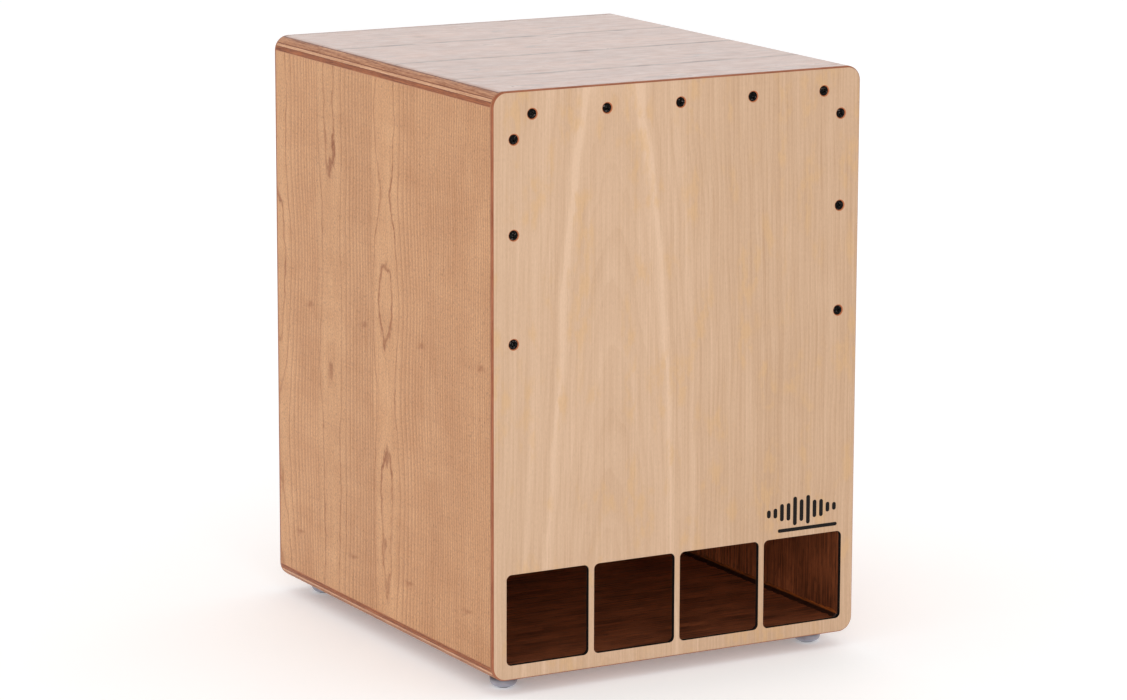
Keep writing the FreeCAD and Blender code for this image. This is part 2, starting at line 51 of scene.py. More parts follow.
# Places that the materials and pieces share, in millimetres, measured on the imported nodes.
SEAT_LOW, SEAT_HIGH = (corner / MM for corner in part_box("seat_panel"))
FLOOR_LOW, FLOOR_HIGH = (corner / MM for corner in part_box("floor_panel"))
TAPA_LOW, TAPA_HIGH = (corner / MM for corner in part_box("tapa"))
REAR_LOW, REAR_HIGH = (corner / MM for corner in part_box("rear_panel"))
SHELF_LOW, SHELF_HIGH = (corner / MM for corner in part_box("port_shelf"))
WALL_X = SHELF_HIGH.x
BOX_FRONT = SEAT_LOW.y
BOX_BACK = SEAT_HIGH.y


# ---------------------------------------------------------------------------
# Shader arithmetic
# ---------------------------------------------------------------------------
class Wire:
    """One shader value; plain arithmetic on it adds Math nodes to its tree."""

    def __init__(self, tree, socket):
        self.tree = tree
        self.socket = socket

    def math(self, operation, *others):
        node = self.tree.nodes.new("ShaderNodeMath")
        node.operation = operation
        for slot, value in zip(node.inputs, (self, *others)):
            plug(self.tree, slot, value)
        return Wire(self.tree, node.outputs[0])

    def __add__(self, other):
        return self.math("ADD", other)

    def __sub__(self, other):
        return self.math("SUBTRACT", other)

    def __mul__(self, other):
        return self.math("MULTIPLY", other)

    def __truediv__(self, other):
        return self.math("DIVIDE", other)

    def __neg__(self):
        return self * -1.0

    def above(self, edge, softness):
        """0 below an edge and 1 above it, with a soft step between."""
        node = self.tree.nodes.new("ShaderNodeMapRange")
        node.interpolation_type = "SMOOTHSTEP"
        plug(self.tree, node.inputs["Value"], self)
        node.inputs["From Min"].default_value = edge - softness / 2
        node.inputs["From Max"].default_value = edge + softness / 2
        return Wire(self.tree, node.outputs["Result"])

    def between(self, low, high, softness):
        """1 inside a span and 0 outside it."""
        return self.above(low, softness) - self.above(high, softness)


def plug(tree, slot, value):
    """Feed a socket with a wire or with a constant."""
    if isinstance(value, Wire):
        tree.links.new(value.socket, slot)
    else:
        slot.default_value = value


def colour(red, green, blue):
    """A colour given in 8-bit sRGB, as the linear colour that shaders use."""
    channels = []
    for channel in (red, green, blue):
        share = channel / 255
        channels.append(share / 12.92 if share <= 0.04045 else ((share + 0.055) / 1.055) ** 2.4)
    return (*channels, 1.0)


def mix(tree, share, first, second):
    """A blend of two colours."""
    node = tree.nodes.new("ShaderNodeMix")
    node.data_type = "RGBA"
    plug(tree, node.inputs["Factor"], share)
    plug(tree, node.inputs[6], first)
    plug(tree, node.inputs[7], second)
    return Wire(tree, node.outputs[2])


def shade(tree, base, gain):
    """A colour made lighter or darker by a factor."""
    node = tree.nodes.new("ShaderNodeVectorMath")
    node.operation = "SCALE"
    plug(tree, node.inputs[0], base)
    plug(tree, node.inputs["Scale"], gain)
    return Wire(tree, node.outputs[0])


def noise(tree, x, y, z, detail=2.0, roughness=0.5):
    """Smooth noise about zero, from -0.5 to 0.5, at a point given by three values."""
    point = tree.nodes.new("ShaderNodeCombineXYZ")
    for slot, value in zip(point.inputs, (x, y, z)):
        plug(tree, slot, value)
    node = tree.nodes.new("ShaderNodeTexNoise")
    node.inputs["Scale"].default_value = 1.0
    node.inputs["Detail"].default_value = detail
    node.inputs["Roughness"].default_value = roughness
    tree.links.new(point.outputs[0], node.inputs["Vector"])
    return Wire(tree, node.outputs["Fac"]) - 0.5


def place_in_mm(tree):
    """The shaded point in the frame, in millimetres, as three values."""
    source = tree.nodes.new("ShaderNodeTexCoord")
    parts = tree.nodes.new("ShaderNodeSeparateXYZ")
    tree.links.new(source.outputs["Object"], parts.inputs[0])
    return [Wire(tree, output) / MM for output in parts.outputs]


def facing(tree):
    """The surface's own direction, as three values."""
    source = tree.nodes.new("ShaderNodeTexCoord")
    parts = tree.nodes.new("ShaderNodeSeparateXYZ")
    tree.links.new(source.outputs["Normal"], parts.inputs[0])
    return [Wire(tree, output) for output in parts.outputs]


def new_material(name):
    """An empty material with one Principled shader: its tree and the shader."""
    material = bpy.data.materials.new(name)
    material.use_nodes = True
    tree = material.node_tree
    shader = next(node for node in tree.nodes if node.type == "BSDF_PRINCIPLED")
    return material, tree, shader


def finish_surface(tree, shader, base, roughness, height=None, depth_mm=0.05, coat=0.0, coat_roughness=0.25,
                   specular=0.5):
    """Connect a colour, a roughness and a relief to a Principled shader."""
    plug(tree, shader.inputs["Base Color"], base)
    plug(tree, shader.inputs["Roughness"], roughness)
    plug(tree, shader.inputs["Coat Weight"], coat)
    shader.inputs["Specular IOR Level"].default_value = specular
    shader.inputs["Coat Roughness"].default_value = coat_roughness
    if height is not None:
        bump = tree.nodes.new("ShaderNodeBump")
        bump.inputs["Strength"].default_value = 1.0
        bump.inputs["Distance"].default_value = depth_mm * MM
        plug(tree, bump.inputs["Height"], height)
        tree.links.new(bump.outputs["Normal"], shader.inputs["Normal"])


# ---------------------------------------------------------------------------
# Wood
# ---------------------------------------------------------------------------
@dataclass
class Log:
    """The log that a matched set of leaves was sliced from; lengths in millimetres."""
    leaf_width: float
    first_seam: float
    pith_place: float
    slice_depth: float
    depth_change: float
    depth_length: float
    ring_width: float
    seed: float
    plain_leaf_shift: float = 0.0
    knots: list = field(default_factory=list)


@dataclass
class Tone:
    """The colours of a veneer and how strongly each kind of figure shows."""
    light: tuple
    dark: tuple
    line: tuple
    fine_lines: float
    bold_lines: float
    streaks: float
    flecks: float


def leaf_of(across, log):
    """Which leaf of the matched set a point is in, and how far it is from that leaf's first edge."""
    leaf = ((across - log.first_seam) / log.leaf_width).math("FLOOR")
    return leaf, across - log.first_seam - leaf * log.leaf_width


def growth_rings(tree, along, leaf, inside, log):
    """Rings out from the pith at a point of the veneer, and how flatly they were cut there."""
    sway = noise(tree, along / 170.0, leaf * 0.3, log.seed, detail=1.0) * 16.0
    sideways = inside - log.pith_place + sway
    if log.plain_leaf_shift:
        sideways = sideways + leaf.math("LESS_THAN", 0.5) * log.plain_leaf_shift
    rise = noise(tree, along / log.depth_length, leaf * 0.45, log.seed + 2.0, detail=1.0)
    depth = rise * log.depth_change + log.slice_depth
    distance = (sideways * sideways + depth * depth).math("SQRT")
    flatness = -(sideways.math("ABSOLUTE") / distance).above(0.40, 0.30) + 1.0
    waver = noise(tree, along / 26.0, inside / 13.0, leaf * 0.35 + log.seed, detail=4.0, roughness=0.6)
    return (distance + waver * (flatness * 1.9 + 0.7)) / log.ring_width, flatness


def knot_marks(tree, along, inside, knots):
    """Small dark squiggles that come back in every leaf."""
    total = 0.0
    for place, offset, reach_along, reach_across in knots:
        wander = noise(tree, along / 7.0, inside / 9.0, place, detail=2.0) * 9.0
        up = (along - place + wander) / reach_along
        side = (inside - offset) / reach_across
        total = (-(up * up + side * side)).math("EXPONENT") + total
    return total


def veneer(tree, along, across, log, tone):
    """The colour and the relief of a sliced veneer."""
    leaf, inside = leaf_of(across, log)
    rings, flatness = growth_rings(tree, along, leaf, inside, log)
    phase = rings.math("FRACT")
    fine = phase.math("POWER", 1.5) * (-flatness + 1.0) * tone.fine_lines
    patchy = noise(tree, along / 55.0, inside / 20.0, leaf * 0.6 + log.seed + 3.0) * 1.6 + 0.75
    bold = (phase.between(0.80, 0.90, 0.10) + phase * 0.12) * flatness * patchy * tone.bold_lines
    long_streak = noise(tree, along / 150.0, across / 1.6, log.seed + 5.0, detail=4.0, roughness=0.6)
    short_streak = noise(tree, along / 22.0, across / 0.9, log.seed + 7.0, detail=3.0, roughness=0.6)
    clouds = noise(tree, along / 70.0, across / 38.0, log.seed + 9.0, detail=3.0)
    crossfire = noise(tree, along / 16.0, across / 90.0, log.seed + 10.0, detail=1.0)
    pores = noise(tree, along / 4.0, across / 0.5, log.seed + 11.0, detail=2.0)
    fleck = noise(tree, along / 1.8, across / 1.6, log.seed + 13.0, detail=3.0, roughness=0.65)
    blend = (long_streak * 1.2 + short_streak + clouds * 0.9 + crossfire * 0.35) * tone.streaks + 0.5
    base = mix(tree, blend, tone.light, tone.dark)
    base = mix(tree, fine + bold, base, tone.line)
    if log.knots:
        base = mix(tree, knot_marks(tree, along, inside, log.knots) * 0.5, base, tone.line)
    leaf_tint = noise(tree, leaf * 3.7, log.seed, 0.5, detail=0.0) * 0.12
    seam = inside.above(0.5, 0.6) * 0.08 - 0.08
    gain = leaf_tint + seam + fleck * tone.flecks - pores.above(0.16, 0.12) * tone.flecks * 0.8 + 1.0
    return shade(tree, base, gain), fleck * 0.5 - pores - fine * 0.3


def ply_streaks(tree, along, through, seed, light, dark):
    """The streaky colour of a ply's edge, its streaks lying along the board."""
    long_streak = noise(tree, along / 34.0, through / 1.1, seed, detail=4.0, roughness=0.65)
    short_streak = noise(tree, along / 6.0, through / 0.6, seed + 4.0, detail=3.0)
    return mix(tree, long_streak * 2.6 + short_streak * 1.2 + 0.5, light, dark)


def stacked(tree, through, layers, softness=0.22):
    """Colours laid one behind another through a board; each layer starts at its own depth."""
    result = layers[0][1]
    for start, layer in layers[1:]:
        result = mix(tree, through.above(start, softness), result, layer)
    return result


def stained(tree, along, across, depth, seed):
    """Dark stain over open grain, painted lighter toward the back of the box, against the duct's shade: the colour
    and the relief.
    """
    grain = noise(tree, along / 60.0, across / 1.6, seed, detail=4.0, roughness=0.65)
    patches = noise(tree, along / 45.0, across / 22.0, seed + 2.0, detail=3.0)
    vessels = noise(tree, along / 9.0, across / 0.7, seed + 4.0, detail=2.0).above(0.11, 0.1)
    base = mix(tree, grain * 3.6 + patches * 1.4 + 0.5, colour(162, 90, 54), colour(74, 36, 20))
    # Painted light: the stain gets lighter toward the back, where the duct lies deeper in shade.
    painted_light_to_back = (depth - BOX_FRONT) / (BOX_BACK - BOX_FRONT) * 1.9 + 0.8
    return shade(tree, mix(tree, vessels * 0.7, base, colour(50, 22, 11)), painted_light_to_back), -vessels


# The matched leaves on the sides: four leaves from front to back, the first one straight-grained.
SIDE_LOG = Log(
    leaf_width=103.6, first_seam=BOX_FRONT, pith_place=79.0, slice_depth=60.0, depth_change=17.0,
    depth_length=170.0, ring_width=3.7, seed=2.0, plain_leaf_shift=-115.0,
    knots=[(63.0, 39.0, 2.0, 8.0), (268.0, 16.0, 2.5, 6.0)],
)
SIDE_TONE = Tone(light=colour(216, 166, 122), dark=colour(189, 136, 93), line=colour(138, 74, 32),
                 fine_lines=0.46, bold_lines=0.7, streaks=1.2, flecks=0.9)

# The seat's leaves run across it, with their seams across the width.
SEAT_LOG = Log(
    leaf_width=104.0, first_seam=BOX_BACK - 4 * 104.0, pith_place=40.0, slice_depth=34.0, depth_change=16.0,
    depth_length=120.0, ring_width=5.0, seed=21.0,
)
SEAT_TONE = Tone(light=colour(180, 120, 84), dark=colour(138, 80, 50), line=colour(84, 42, 26),
                 fine_lines=0.25, bold_lines=0.5, streaks=1.1, flecks=0.5)


def seam_smudges(tree, along, across):
    """Where brown smudges of filler lie in the seams between the seat's leaves."""
    _, inside = leaf_of(across + 4.0, SEAT_LOG)
    ragged = noise(tree, along / 24.0, across / 5.0, 25.0, detail=4.0, roughness=0.6)
    return inside.between(0.5, 6.5, 3.0) * (ragged * 3.0 + 0.55)


def rotary_veneer(tree, along, across):
    """The tapa's one wide sheet of pale rotary-cut wood: broad arches drawn by fine soft lines."""
    arch_middle = TAPA_LOW.x + 110.0
    sway = noise(tree, along / 190.0, 0.0, 33.0, detail=1.0) * 14.0
    sideways = across - arch_middle + sway
    depth = (along - TAPA_LOW.z) * 0.078 + 26.0
    waver = noise(tree, along / 60.0, across / 16.0, 35.0, detail=3.0) * 5.0
    distance = (sideways * sideways + depth * depth).math("SQRT") + waver
    phase = (distance / 3.9).math("FRACT")
    right_of_arch = across.above(TAPA_LOW.x + 190.0, 90.0)
    broken = noise(tree, along / 45.0, across / 14.0, 34.0, detail=2.0) * 1.6 + 0.8
    fine = phase.math("POWER", 1.6) * (right_of_arch * 0.10 + 0.12) * broken
    ripple = noise(tree, distance / 7.0, along / 400.0, 36.0, detail=3.0)
    pale_streaks = distance.between(66.0, 69.0, 6.0) * 0.5 + distance.between(84.0, 86.0, 5.0) * 0.25
    pale_streaks = pale_streaks * (noise(tree, along / 60.0, distance / 3.0, 38.0, detail=3.0) * 1.8 + 0.9)
    clouds = noise(tree, along / 55.0, across / 26.0, 37.0, detail=3.0)
    long_streak = noise(tree, along / 150.0, across / 1.5, 39.0, detail=4.0, roughness=0.6)
    pores = noise(tree, along / 6.5, across / 0.55, 43.0, detail=2.0).above(0.15, 0.12)
    fleck = noise(tree, along / 3.0, across / 1.3, 45.0, detail=3.0, roughness=0.6)
    blend = fine + ripple * 0.55 + long_streak * 0.9 + clouds * 0.3 + right_of_arch * 0.12 + 0.32 - pale_streaks
    base = mix(tree, blend, colour(207, 175, 147), colour(172, 136, 104))
    yellowing = clouds.above(0.06, 0.12) * noise(tree, along / 18.0, across / 8.0, 47.0, detail=3.0).above(0.0, 0.2)
    base = mix(tree, yellowing * 0.45, base, colour(202, 162, 116))
    return shade(tree, base, fleck * 0.20 - pores * 0.09 + 1.0), fleck * 0.5 - pores


def shell_edge(tree, through, along, seed):
    """The five plies of a shell board where its rounded edge bares them, from the outer face in."""
    cross_band = ply_streaks(tree, along, through, seed, colour(206, 150, 112), colour(138, 80, 48))
    dark_band = ply_streaks(tree, along, through, seed + 8.0, colour(178, 104, 60), colour(102, 48, 24))
    core = ply_streaks(tree, along, through, seed + 16.0, colour(226, 178, 142), colour(180, 124, 86))
    glue = colour(112, 62, 38)
    through = through + noise(tree, along / 3.5, seed, 0.0, detail=3.0) * 0.9
    return stacked(tree, through, [
        (0.0, glue), (1.1, cross_band), (5.2, colour(128, 72, 44)), (5.9, core), (8.0, colour(112, 56, 32)),
        (8.4, dark_band), (12.0, colour(186, 130, 92)),
    ])


def shell_board_material(name, face_height, inward, seed, inner_is_duct):
    """A seat or floor board: veneered faces and bare plies round its long edges."""
    material, tree, shader = new_material(name)
    x, y, z = place_in_mm(tree)
    through = (z - face_height) * inward
    face, relief = veneer(tree, x, y, SEAT_LOG, SEAT_TONE)
    smudge = seam_smudges(tree, x, y)
    face = mix(tree, smudge, face, colour(88, 48, 28))
    edge = shell_edge(tree, through, y, seed)
    inner, inner_relief = stained(tree, x, y, y, seed + 5.0)
    base = mix(tree, through.above(0.75, 0.12), face, edge)
    if inner_is_duct:
        base = mix(tree, through.above(12.35, 0.1), base, inner)
        relief = relief + inner_relief
    is_face = -through.above(0.75, 0.5) + 1.0
    roughness = noise(tree, x / 25.0, y / 9.0, seed) * 0.2 - is_face * 0.18 + 0.5
    dull_streaks = noise(tree, x / 45.0, y / 1.6, seed + 1.0, detail=4.0, roughness=0.65)
    dull_patches = noise(tree, x / 14.0, y / 10.0, seed + 2.0, detail=3.0)
    gloss = dull_streaks * 0.9 + dull_patches * 0.8 - smudge * 0.55 + 0.72
    finish_surface(tree, shader, base, roughness, relief, depth_mm=0.06, coat=is_face * gloss.math("MAXIMUM", 0.05),
                   coat_roughness=0.34, specular=0.3)
    return material


def side_material():
    """The side boards: matched veneer outside, dark stain inside."""
    material, tree, shader = new_material("side_board")
    x, y, z = place_in_mm(tree)
    outer, outer_relief = veneer(tree, z, y, SIDE_LOG, SIDE_TONE)
    inner, inner_relief = stained(tree, z, y, y, 41.0)
    is_outer = x.math("ABSOLUTE").above((WALL_X + TAPA_HIGH.x) / 2, 1.0)
    base = mix(tree, is_outer, inner, outer)
    relief = outer_relief * is_outer + inner_relief * (-is_outer + 1.0)
    roughness = noise(tree, z / 20.0, y / 6.0, 43.0) * 0.14 + 0.48
    finish_surface(tree, shader, base, roughness, relief, depth_mm=0.03, coat=0.05, specular=0.25)
    return material


def plate_edge(tree, through, around, seed):
    """The thin plate's plies where its rounded rim bares them."""
    core = ply_streaks(tree, around, through, seed, colour(176, 110, 78), colour(128, 68, 42))
    back = ply_streaks(tree, around, through, seed + 6.0, colour(190, 132, 90), colour(146, 90, 56))
    return stacked(tree, through, [(0.0, colour(136, 76, 50)), (0.55, core), (3.2, back)])


def tapa_material():
    """The tapa: pale veneer, bare plies at the rim and in the countersinks, black port edges."""
    material, tree, shader = new_material("tapa_plate")
    x, y, z = place_in_mm(tree)
    _, facing_y, _ = facing(tree)
    face, relief = rotary_veneer(tree, z, x)
    through = y - TAPA_LOW.y
    base = mix(tree, through.above(0.35, 0.1), face, plate_edge(tree, through, z + x, 51.0))
    port_top = SHELF_LOW.z
    in_ports = x.between(-WALL_X - 0.4, WALL_X + 0.4, 0.2) * z.between(FLOOR_HIGH.z - 0.4, port_top + 0.4, 0.2)
    steepness = facing_y.math("ABSOLUTE")
    is_cut_edge = steepness.math("LESS_THAN", 0.7) * in_ports
    base = mix(tree, is_cut_edge, base, colour(12, 9, 8))
    clear_of_rim = x.between(TAPA_LOW.x + 8, TAPA_HIGH.x - 8, 0.5) * z.between(port_top + 10, TAPA_HIGH.z - 8, 0.5)
    is_countersink = steepness.between(0.55, 0.85, 0.05) * clear_of_rim
    base = mix(tree, is_countersink, base, colour(176, 104, 66))
    inner, _ = stained(tree, z, x, y, 57.0)
    base = mix(tree, through.above(3.9, 0.1) * z.math("LESS_THAN", port_top), base, inner)
    roughness = noise(tree, z / 30.0, x / 6.0, 53.0) * 0.12 + 0.5
    roughness = roughness + is_cut_edge * 0.4
    finish_surface(tree, shader, base, roughness, relief, depth_mm=0.02, specular=0.2)
    return material


def rear_material():
    """The rear plate: the same veneer as the sides, with bare plies at its rim."""
    material, tree, shader = new_material("rear_plate")
    x, y, z = place_in_mm(tree)
    log = replace(SIDE_LOG, first_seam=-2 * SIDE_LOG.leaf_width, seed=61.0, plain_leaf_shift=0.0)
    face, relief = veneer(tree, z, x, log, SIDE_TONE)
    through = -y + REAR_HIGH.y
    base = mix(tree, through.above(0.35, 0.1), face, plate_edge(tree, through, z + x, 63.0))
    inner, _ = stained(tree, z, x, y, 67.0)
    base = mix(tree, through.above(3.9, 0.1), base, inner)
    roughness = noise(tree, z / 30.0, x / 6.0, 65.0) * 0.12 + 0.44
    finish_surface(tree, shader, base, roughness, relief, depth_mm=0.02, coat=0.05, specular=0.25)
    return material


def stained_material():
    """The shelf and its cleats: dark stain, grain across the duct."""
    material, tree, shader = new_material("stained_wood")
    x, y, z = place_in_mm(tree)
    base, relief = stained(tree, x, y + z * 1.7, y, 71.0)
    finish_surface(tree, shader, base, 0.55, relief, depth_mm=0.05, specular=0.3)
    return material


def batten_material():
    """Unfinished softwood, for the frames inside."""
    material, tree, shader = new_material("batten_wood")
    x, y, z = place_in_mm(tree)
    rings = (x * 0.16 + noise(tree, x / 60.0, y / 9.0, z / 60.0, detail=3.0) * 2.4 + y * 0.31).math("FRACT")
    fibres = noise(tree, x / 2.0, y / 0.7, z / 2.0, detail=3.0)
    base = mix(tree, rings.math("POWER", 4.0) * 0.7, colour(216, 180, 134), colour(178, 128, 82))
    finish_surface(tree, shader, shade(tree, base, fibres * 0.25 + 1.0), 0.7, fibres, depth_mm=0.08)
    return material


# ---------------------------------------------------------------------------
# Metal, rubber, ink and glue
# ---------------------------------------------------------------------------
def black_screw_material():
    """Black oxide with a little oil, and small pale spots scattered over it as painted glints."""
    material, tree, shader = new_material("black_oxide")
    x, y, z = place_in_mm(tree)
    grain = noise(tree, x / 0.5, y / 0.5, z / 0.5, detail=3.0)
    # Small pale spots scattered by noise are painted glints on the black oxide.
    painted_glints = noise(tree, x / 1.2, y / 1.2, z / 1.2, detail=3.0).above(0.13, 0.12)
    base = mix(tree, painted_glints, colour(5, 4, 3), colour(96, 88, 84))
    finish_surface(tree, shader, base, grain * 0.2 + 0.3, grain, depth_mm=0.05, specular=0.07)
    return material


def nickel_material():
    """Bright nickel plate with faint turning marks, darkened toward the top as a painted reflection of the box's
    dark underside.
    """
    material, tree, shader = new_material("nickel_plate")
    x, y, z = place_in_mm(tree)
    turning = noise(tree, 0.0, 0.0, z / 0.12, detail=2.0)
    film = noise(tree, x / 6.0, y / 6.0, z / 3.0, detail=3.0)
    shader.inputs["Metallic"].default_value = 1.0
    bright = mix(tree, film + 0.5, colour(206, 210, 222), colour(160, 160, 172))
    # Painted reflection: the top of the foot darkens as if it mirrored the dark underside of the box.
    base = mix(tree, z.above(6.5, 6.0), bright, colour(70, 62, 64))
    finish_surface(tree, shader, base, film * 0.08 + 0.12, turning, depth_mm=0.004)
    return material


def rubber_material():
    """Matt black rubber with a moulded grain."""
    material, tree, shader = new_material("foot_rubber")
    x, y, z = place_in_mm(tree)
    grain = noise(tree, x / 0.6, y / 0.6, z / 0.6, detail=3.0)
    base = mix(tree, grain + 0.5, colour(30, 29, 29), colour(46, 44, 44))
    finish_surface(tree, shader, base, 0.78, grain, depth_mm=0.06)
    return material


def steel_material():
    """Zinc-plated steel with a drawn grain."""
    material, tree, shader = new_material("plain_steel")
    x, y, z = place_in_mm(tree)
    drawn = noise(tree, x / 0.3, y / 0.3, z / 6.0, detail=3.0)
    shader.inputs["Metallic"].default_value = 1.0
    base = mix(tree, drawn + 0.5, colour(200, 200, 198), colour(160, 160, 160))
    finish_surface(tree, shader, base, drawn * 0.2 + 0.32, drawn, depth_mm=0.01)
    return material


def ink_material():
    """Black screen ink that follows the pores a little."""
    material, tree, shader = new_material("screen_ink")
    x, y, z = place_in_mm(tree)
    pores = noise(tree, z / 6.0, x / 0.5, y, detail=2.0)
    base = mix(tree, pores + 0.5, colour(12, 9, 9), colour(26, 20, 18))
    finish_surface(tree, shader, base, 0.65, pores, depth_mm=0.01, specular=0.15)
    return material


def seam_material():
    """Squeezed-out glue and raw wood: amber along the wall, and dark below, partly stain and partly painted shade of
    the gap at the seam.
    """
    material, tree, shader = new_material("seam_strip")
    x, y, z = place_in_mm(tree)
    streak = noise(tree, y / 14.0, z / 1.2, 83.0, detail=4.0)
    amber = mix(tree, streak * 2.2 + 0.5, colour(190, 100, 40), colour(84, 42, 20))
    # The dark lower part is partly painted shade, standing for the shadowed gap along the seam.
    dark = mix(tree, streak + 0.5, colour(58, 30, 18), colour(30, 14, 8))
    rise = z - FLOOR_HIGH.z + streak * 2.0
    finish_surface(tree, shader, mix(tree, rise.above(2.4, 1.0), dark, amber), 0.42, streak, depth_mm=0.15)
    return material


def floor_material():
    """The pale studio floor: a lit table with the faintest mottle."""
    material, tree, shader = new_material("studio_floor")
    x, y, _ = place_in_mm(tree)
    mottle = noise(tree, x / 180.0, y / 180.0, 0.0, detail=4.0)
    base = mix(tree, mottle + 0.5, colour(250, 250, 250), colour(246, 246, 247))
    finish_surface(tree, shader, base, 0.8, specular=0.1)
    plug(tree, shader.inputs["Emission Color"], base)
    shader.inputs["Emission Strength"].default_value = 0.22
    return material


# ---------------------------------------------------------------------------
# Pieces made here
# ---------------------------------------------------------------------------
def mesh_piece(name, points, faces, material, smooth=True):
    """A mesh object that rides on the one body and takes a slot's finish."""
    mesh = bpy.data.meshes.new(name)
    mesh.from_pydata(points, [], faces)
    mesh.materials.append(material)
    mesh.validate()
    for face in mesh.polygons:
        face.use_smooth = smooth
    piece = bpy.data.objects.new(name, mesh)
    bpy.context.scene.collection.objects.link(piece)
    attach(piece, "root")
    return piece


def bar_outline(middle, width, height, steps=10):
    """The outline of a bar with round ends about its middle, upright or lying down."""
    radius = min(width, height) / 2
    upright = height > width
    straight = max(width, height) / 2 - radius
    points = []
    for end in (1, -1):
        for step in range(steps + 1):
            turn = math.pi * step / steps
            side = end * radius * math.cos(turn)
            reach = end * (straight + radius * math.sin(turn))
            across, up = (side, reach) if upright else (reach, -side)
            points.append((middle[0] + across, middle[1] + up))
    return points


def emblem(material):
    """A plain mark printed over the right-hand port: upright bars of uneven height over a line."""
    ink = 0.12
    bar_count = 11
    pitch = 6.4
    middle = (120.0, 123.0)
    outlines = [bar_outline((middle[0] + 6.0, 107.5), 58.0, 3.0)]
    for index in range(bar_count):
        offset = index - bar_count // 2
        swell = math.cos(offset / bar_count * math.pi) ** 2
        height = 26.0 * (0.24 + 0.76 * swell * (0.62 if index % 2 else 1.0))
        outlines.append(bar_outline((middle[0] + offset * pitch, middle[1]), 3.6, height))
    points = []
    faces = []
    for outline in outlines:
        start = len(points)
        count = len(outline)
        for depth in (-ink, ink):
            points += [Vector((across, TAPA_LOW.y + depth, up)) * MM for across, up in outline]
        faces.append(list(range(start, start + count)))
        faces.append(list(range(start + 2 * count - 1, start + count - 1, -1)))
        for step in range(count):
            after = (step + 1) % count
            faces.append([start + step, start + count + step, start + count + after, start + after])
    return mesh_piece("printed_mark", points, faces, material, smooth=False)


def seam_strip(side, sign, material):
    """A rough-edged hollow bead along the seam between the floor and a wall of the duct."""
    node = f"{side}_seam_strip"
    low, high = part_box(node)
    wall = high.x if sign > 0 else low.x
    size = high.z - low.z
    length_steps = 150
    arc_steps = 8
    points = []
    for row in range(length_steps + 1):
        along = low.y + (high.y - low.y) * row / length_steps
        wander = field_noise.noise(Vector((along * 90.0, sign, 0.0)))
        flare = field_noise.noise(Vector((along * 300.0, sign, 5.0)))
        foot = size * min(1.0, 0.58 + 0.42 * wander + 0.3 * flare)
        rise = size * min(1.0, 0.62 - 0.3 * wander + 0.25 * flare)
        points.append((wall, along, low.z))
        for step in range(arc_steps + 1):
            turn = math.pi / 2 * step / arc_steps
            hollow = 0.78
            across = foot * (1 - hollow * math.sin(turn)) * math.cos(turn)
            up = rise * (1 - hollow * math.cos(turn)) * math.sin(turn)
            points.append((wall - sign * across, along, low.z + up))
    ring = arc_steps + 2
    faces = []
    for row in range(length_steps):
        for step in range(ring):
            after = (step + 1) % ring
            corner = row * ring
            face = [corner + step, corner + after, corner + ring + after, corner + ring + step]
            faces.append(face if sign > 0 else face[::-1])
    first = list(range(ring))
    last = [length_steps * ring + step for step in range(ring)]
    faces.append(first[::-1] if sign > 0 else first)
    faces.append(last if sign > 0 else last[::-1])
    strip = mesh_piece(f"{side}_glue_and_shade_bead", points, faces, material)
    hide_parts(node)


def snare_coil(side, material):
    """The fan of snare wires as real coils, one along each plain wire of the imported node."""
    node = f"{side}_snare_wires"
    wires = loose_parts(NODES[node].data)
    coil_pitch = 1.5 * MM
    wire_radius = 0.2 * MM
    points_a_turn = 8
    curve = bpy.data.curves.new(f"{side}_snare_coils", "CURVE")
    curve.dimensions = "3D"
    curve.bevel_depth = wire_radius
    curve.bevel_resolution = 1
    for top, foot, radius in wires:
        run = foot - top
        across = run.cross(Vector((0, 1, 0))).normalized()
        outward = run.cross(across).normalized()
        turns = run.length / coil_pitch
        count = int(turns * points_a_turn)
        reach = radius - wire_radius
        line = curve.splines.new("POLY")
        line.points.add(count)
        for index, point in enumerate(line.points):
            turn = 2 * math.pi * index / points_a_turn
            place = top + run * (index / count) + (across * math.cos(turn) + outward * math.sin(turn)) * reach
            point.co = (*place, 1.0)
    curve.materials.append(material)
    piece = bpy.data.objects.new(f"{side}_snare_coils", curve)
    bpy.context.scene.collection.objects.link(piece)
    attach(piece, "root")
    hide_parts(node)


def loose_parts(mesh):
    """The two end middles and the radius of each straight rod in a mesh."""
    work = bmesh.new()
    work.from_mesh(mesh)
    bmesh.ops.remove_doubles(work, verts=work.verts, dist=1e-6)
    unseen = set(work.verts)
    rods = []
    while unseen:
        group = []
        queue = [unseen.pop()]
        while queue:
            vertex = queue.pop()
            group.append(vertex.co.copy())
            for edge in vertex.link_edges:
                other = edge.other_vert(vertex)
                if other in unseen:
                    unseen.remove(other)
                    queue.append(other)
        group.sort(key=lambda point: -point.z)
        half = len(group) // 2
        top = sum(group[:half], Vector()) / half
        foot = sum(group[half:], Vector()) / (len(group) - half)
        radius = max((point - top).length for point in group[:half])
        rods.append((top, foot, radius))
    work.free()
    return sorted(rods, key=lambda rod: rod[0].x)


# ---------------------------------------------------------------------------
# Stage
# ---------------------------------------------------------------------------
def studio_floor():
    """A wide pale floor that the object stands on."""
    reach = 14.0
    mesh = bpy.data.meshes.new("studio_floor")
    corners = [(-reach, -reach, 0), (reach, -reach, 0), (reach, reach, 0), (-reach, reach, 0)]
    mesh.from_pydata(corners, [], [(0, 1, 2, 3)])
    mesh.materials.append(floor_material())
    floor = bpy.data.objects.new("studio_floor", mesh)
    bpy.context.scene.collection.objects.link(floor)


